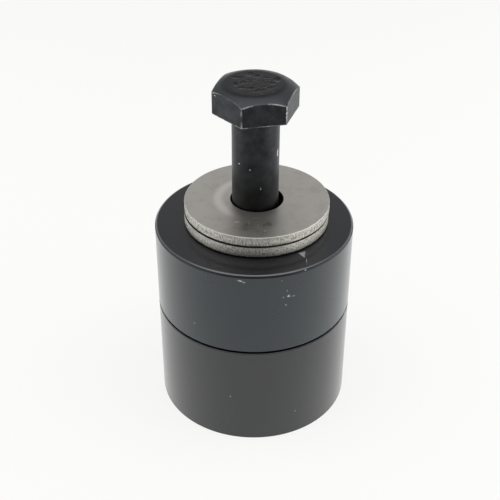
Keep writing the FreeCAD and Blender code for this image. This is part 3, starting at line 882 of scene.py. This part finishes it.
dressed(lower_die_piece(), "lower_die",
        black_oxide_steel("blackened_lower_die", LOWER_SIDE_BLACK, LOWER_DIE_KNOCKS))
dressed(upper_die_piece(), "upper_die",
        black_oxide_steel("blackened_upper_die", UPPER_SIDE_BLACK, UPPER_DIE_KNOCKS, UPPER_DIE_SCUFF))
dressed(washer_piece("washer_lower_blanked", LOWER_WASHER), "washer_lower",
        blanked_steel("blanked_lower_washer", LOWER_WASHER))
dressed(washer_piece("washer_upper_blanked", UPPER_WASHER), "washer_upper",
        blanked_steel("blanked_upper_washer", UPPER_WASHER, marked=True))
dressed(bolt_piece(), "bolt", forged_black_steel("forged_black_bolt_steel", BOLT_KNOCKS))
dressed(nut_piece(), "nut", forged_black_steel("forged_black_nut_steel"))


# Studio
FLOOR_SIDE = 6.0
SWEEP = 1.0                  # brightness of the parts of the room, where 1 is white
WALLS_IN_FRONT = 0.12
WALLS_BEHIND = 0.38
CEILING_IN_FRONT = 0.9
CEILING_BEHIND = 1.5
SWEEP_ENDS = (0.16, 0.32)    # heights as a share of straight up, from the sweep to the walls
CEILING_STARTS = (0.68, 0.88)
SHADOWED_WITHIN = 0.2        # metres from the axis, where the floor is least even
EVEN_BEYOND = 0.9
EVENNESS_NEAR = 0.87
EVENNESS_FAR = 0.99
BACKDROP_WHITE = "#f8f8f7"


def floor():
    """Plain pale floor. Camera, gloss and transmission rays see it near white, and more evenly far out;
    close to the object it keeps more of the shadow."""
    bpy.ops.object.select_all(action="DESELECT")
    bpy.ops.mesh.primitive_plane_add(size=FLOOR_SIDE, location=(0, 0, -0.00002))
    piece = place_applied(bpy.context.object, "studio_floor")
    made = material("matt_white_sweep")
    tree = made.node_tree
    white = linear(BACKDROP_WHITE)
    matt = add(tree, "ShaderNodeBsdfDiffuse", {"Color": white})
    glow = add(tree, "ShaderNodeEmission", {"Color": white, "Strength": 1.0})
    path = add(tree, "ShaderNodeLightPath")
    seen = add(tree, "ShaderNodeMath", {"operation": "ADD"},
               {0: path.outputs["Is Camera Ray"], 1: path.outputs["Is Glossy Ray"]})
    seen = add(tree, "ShaderNodeMath", {"operation": "ADD", "use_clamp": True},
               {0: seen.outputs[0], 1: path.outputs["Is Transmission Ray"]})
    out, _, _ = round_place(tree, 0, 0)
    evenness = add(tree, "ShaderNodeMapRange",
                   {"interpolation_type": "SMOOTHSTEP", "From Min": SHADOWED_WITHIN, "From Max": EVEN_BEYOND,
                    "To Min": EVENNESS_NEAR, "To Max": EVENNESS_FAR}, {"Value": out})
    share = add(tree, "ShaderNodeMath", {"operation": "MULTIPLY"},
                {0: seen.outputs[0], 1: evenness.outputs["Result"]})
    both = add(tree, "ShaderNodeMixShader", links={0: share.outputs[0], 1: matt.outputs[0], 2: glow.outputs[0]})
    add(tree, "ShaderNodeOutputMaterial", links={"Surface": both.outputs[0]})
    piece.data.materials.append(made)


def world():
    """The room: a white sweep low down, dim walls above it and a white ceiling, both brighter behind the object."""
    made = bpy.data.worlds.new("studio_world")
    bpy.context.scene.world = made
    made.use_nodes = True
    tree = made.node_tree
    tree.nodes.clear()
    where = add(tree, "ShaderNodeTexCoord").outputs["Generated"]
    axes = add(tree, "ShaderNodeSeparateXYZ", links={0: where})
    wall_level = add(tree, "ShaderNodeMapRange",
                     {"interpolation_type": "SMOOTHSTEP", "From Min": 0.0, "From Max": 0.6,
                      "To Min": WALLS_IN_FRONT, "To Max": WALLS_BEHIND},
                     {"Value": axes.outputs["Y"]})
    walls = add(tree, "ShaderNodeMapRange",
                {"interpolation_type": "SMOOTHSTEP", "From Min": SWEEP_ENDS[0], "From Max": SWEEP_ENDS[1],
                 "To Min": SWEEP},
                {"Value": axes.outputs["Z"], "To Max": wall_level.outputs["Result"]})
    ceiling_level = add(tree, "ShaderNodeMapRange",
                        {"interpolation_type": "SMOOTHSTEP", "From Min": -0.5, "From Max": 0.5,
                         "To Min": CEILING_IN_FRONT, "To Max": CEILING_BEHIND},
                        {"Value": axes.outputs["Y"]})
    level = add(tree, "ShaderNodeMapRange",
                {"interpolation_type": "SMOOTHSTEP", "From Min": CEILING_STARTS[0], "From Max": CEILING_STARTS[1]},
                {"Value": axes.outputs["Z"], "To Min": walls.outputs["Result"],
                 "To Max": ceiling_level.outputs["Result"]})
    room = add(tree, "ShaderNodeBackground", {"Color": linear("#ffffff")}, {"Strength": level.outputs["Result"]})
    add(tree, "ShaderNodeOutputWorld", links={"Surface": room.outputs[0]})


def softbox(name, place, aim, width, height, power):
    """A rectangular studio lamp that the camera doesn't see, its sizes in metres and its power in watts."""
    made = bpy.data.lights.new(name, "AREA")
    made.shape = "RECTANGLE"
    made.size = width
    made.size_y = height
    made.energy = power
    lamp = bpy.data.objects.new(name, made)
    bpy.context.scene.collection.objects.link(lamp)
    lamp.location = place
    lamp.visible_camera = False
    lamp.rotation_euler = (Vector(aim) - Vector(place)).to_track_quat("-Z", "Y").to_euler()


def camera():
    """The photograph's viewpoint: a long lens, looking 34 degrees down. Place and aim are in metres."""
    made = bpy.data.cameras.new("studio_camera")
    made.sensor_fit = "HORIZONTAL"
    made.sensor_width = 36.0
    made.lens = 69.595
    made.clip_start = 0.01
    made.clip_end = 50.0
    view = bpy.data.objects.new("studio_camera", made)
    bpy.context.scene.collection.objects.link(view)
    place = Vector((-0.001038, -0.210427, 0.186148))
    aim = Vector((-0.001038, 0, 0.043205))
    roll = Quaternion((0, 0, 1), 0.0036)
    view.location = place
    view.rotation_euler = ((aim - place).to_track_quat("-Z", "Y") @ roll).to_euler()
    bpy.context.scene.camera = view


floor()
world()
softbox("overhead_softbox", (0, -0.1, 0.55), (0, 0, 0.05), width=0.8, height=0.45, power=1.2)
softbox("left_softbox", (-0.45, -0.06, 0.07), (0, 0, 0.03), width=0.7, height=0.13, power=3.2)
softbox("right_softbox", (0.45, -0.03, 0.07), (0, 0, 0.03), width=0.65, height=0.13, power=4.0)
camera()
bpy.context.scene.view_settings.view_transform = "Standard"
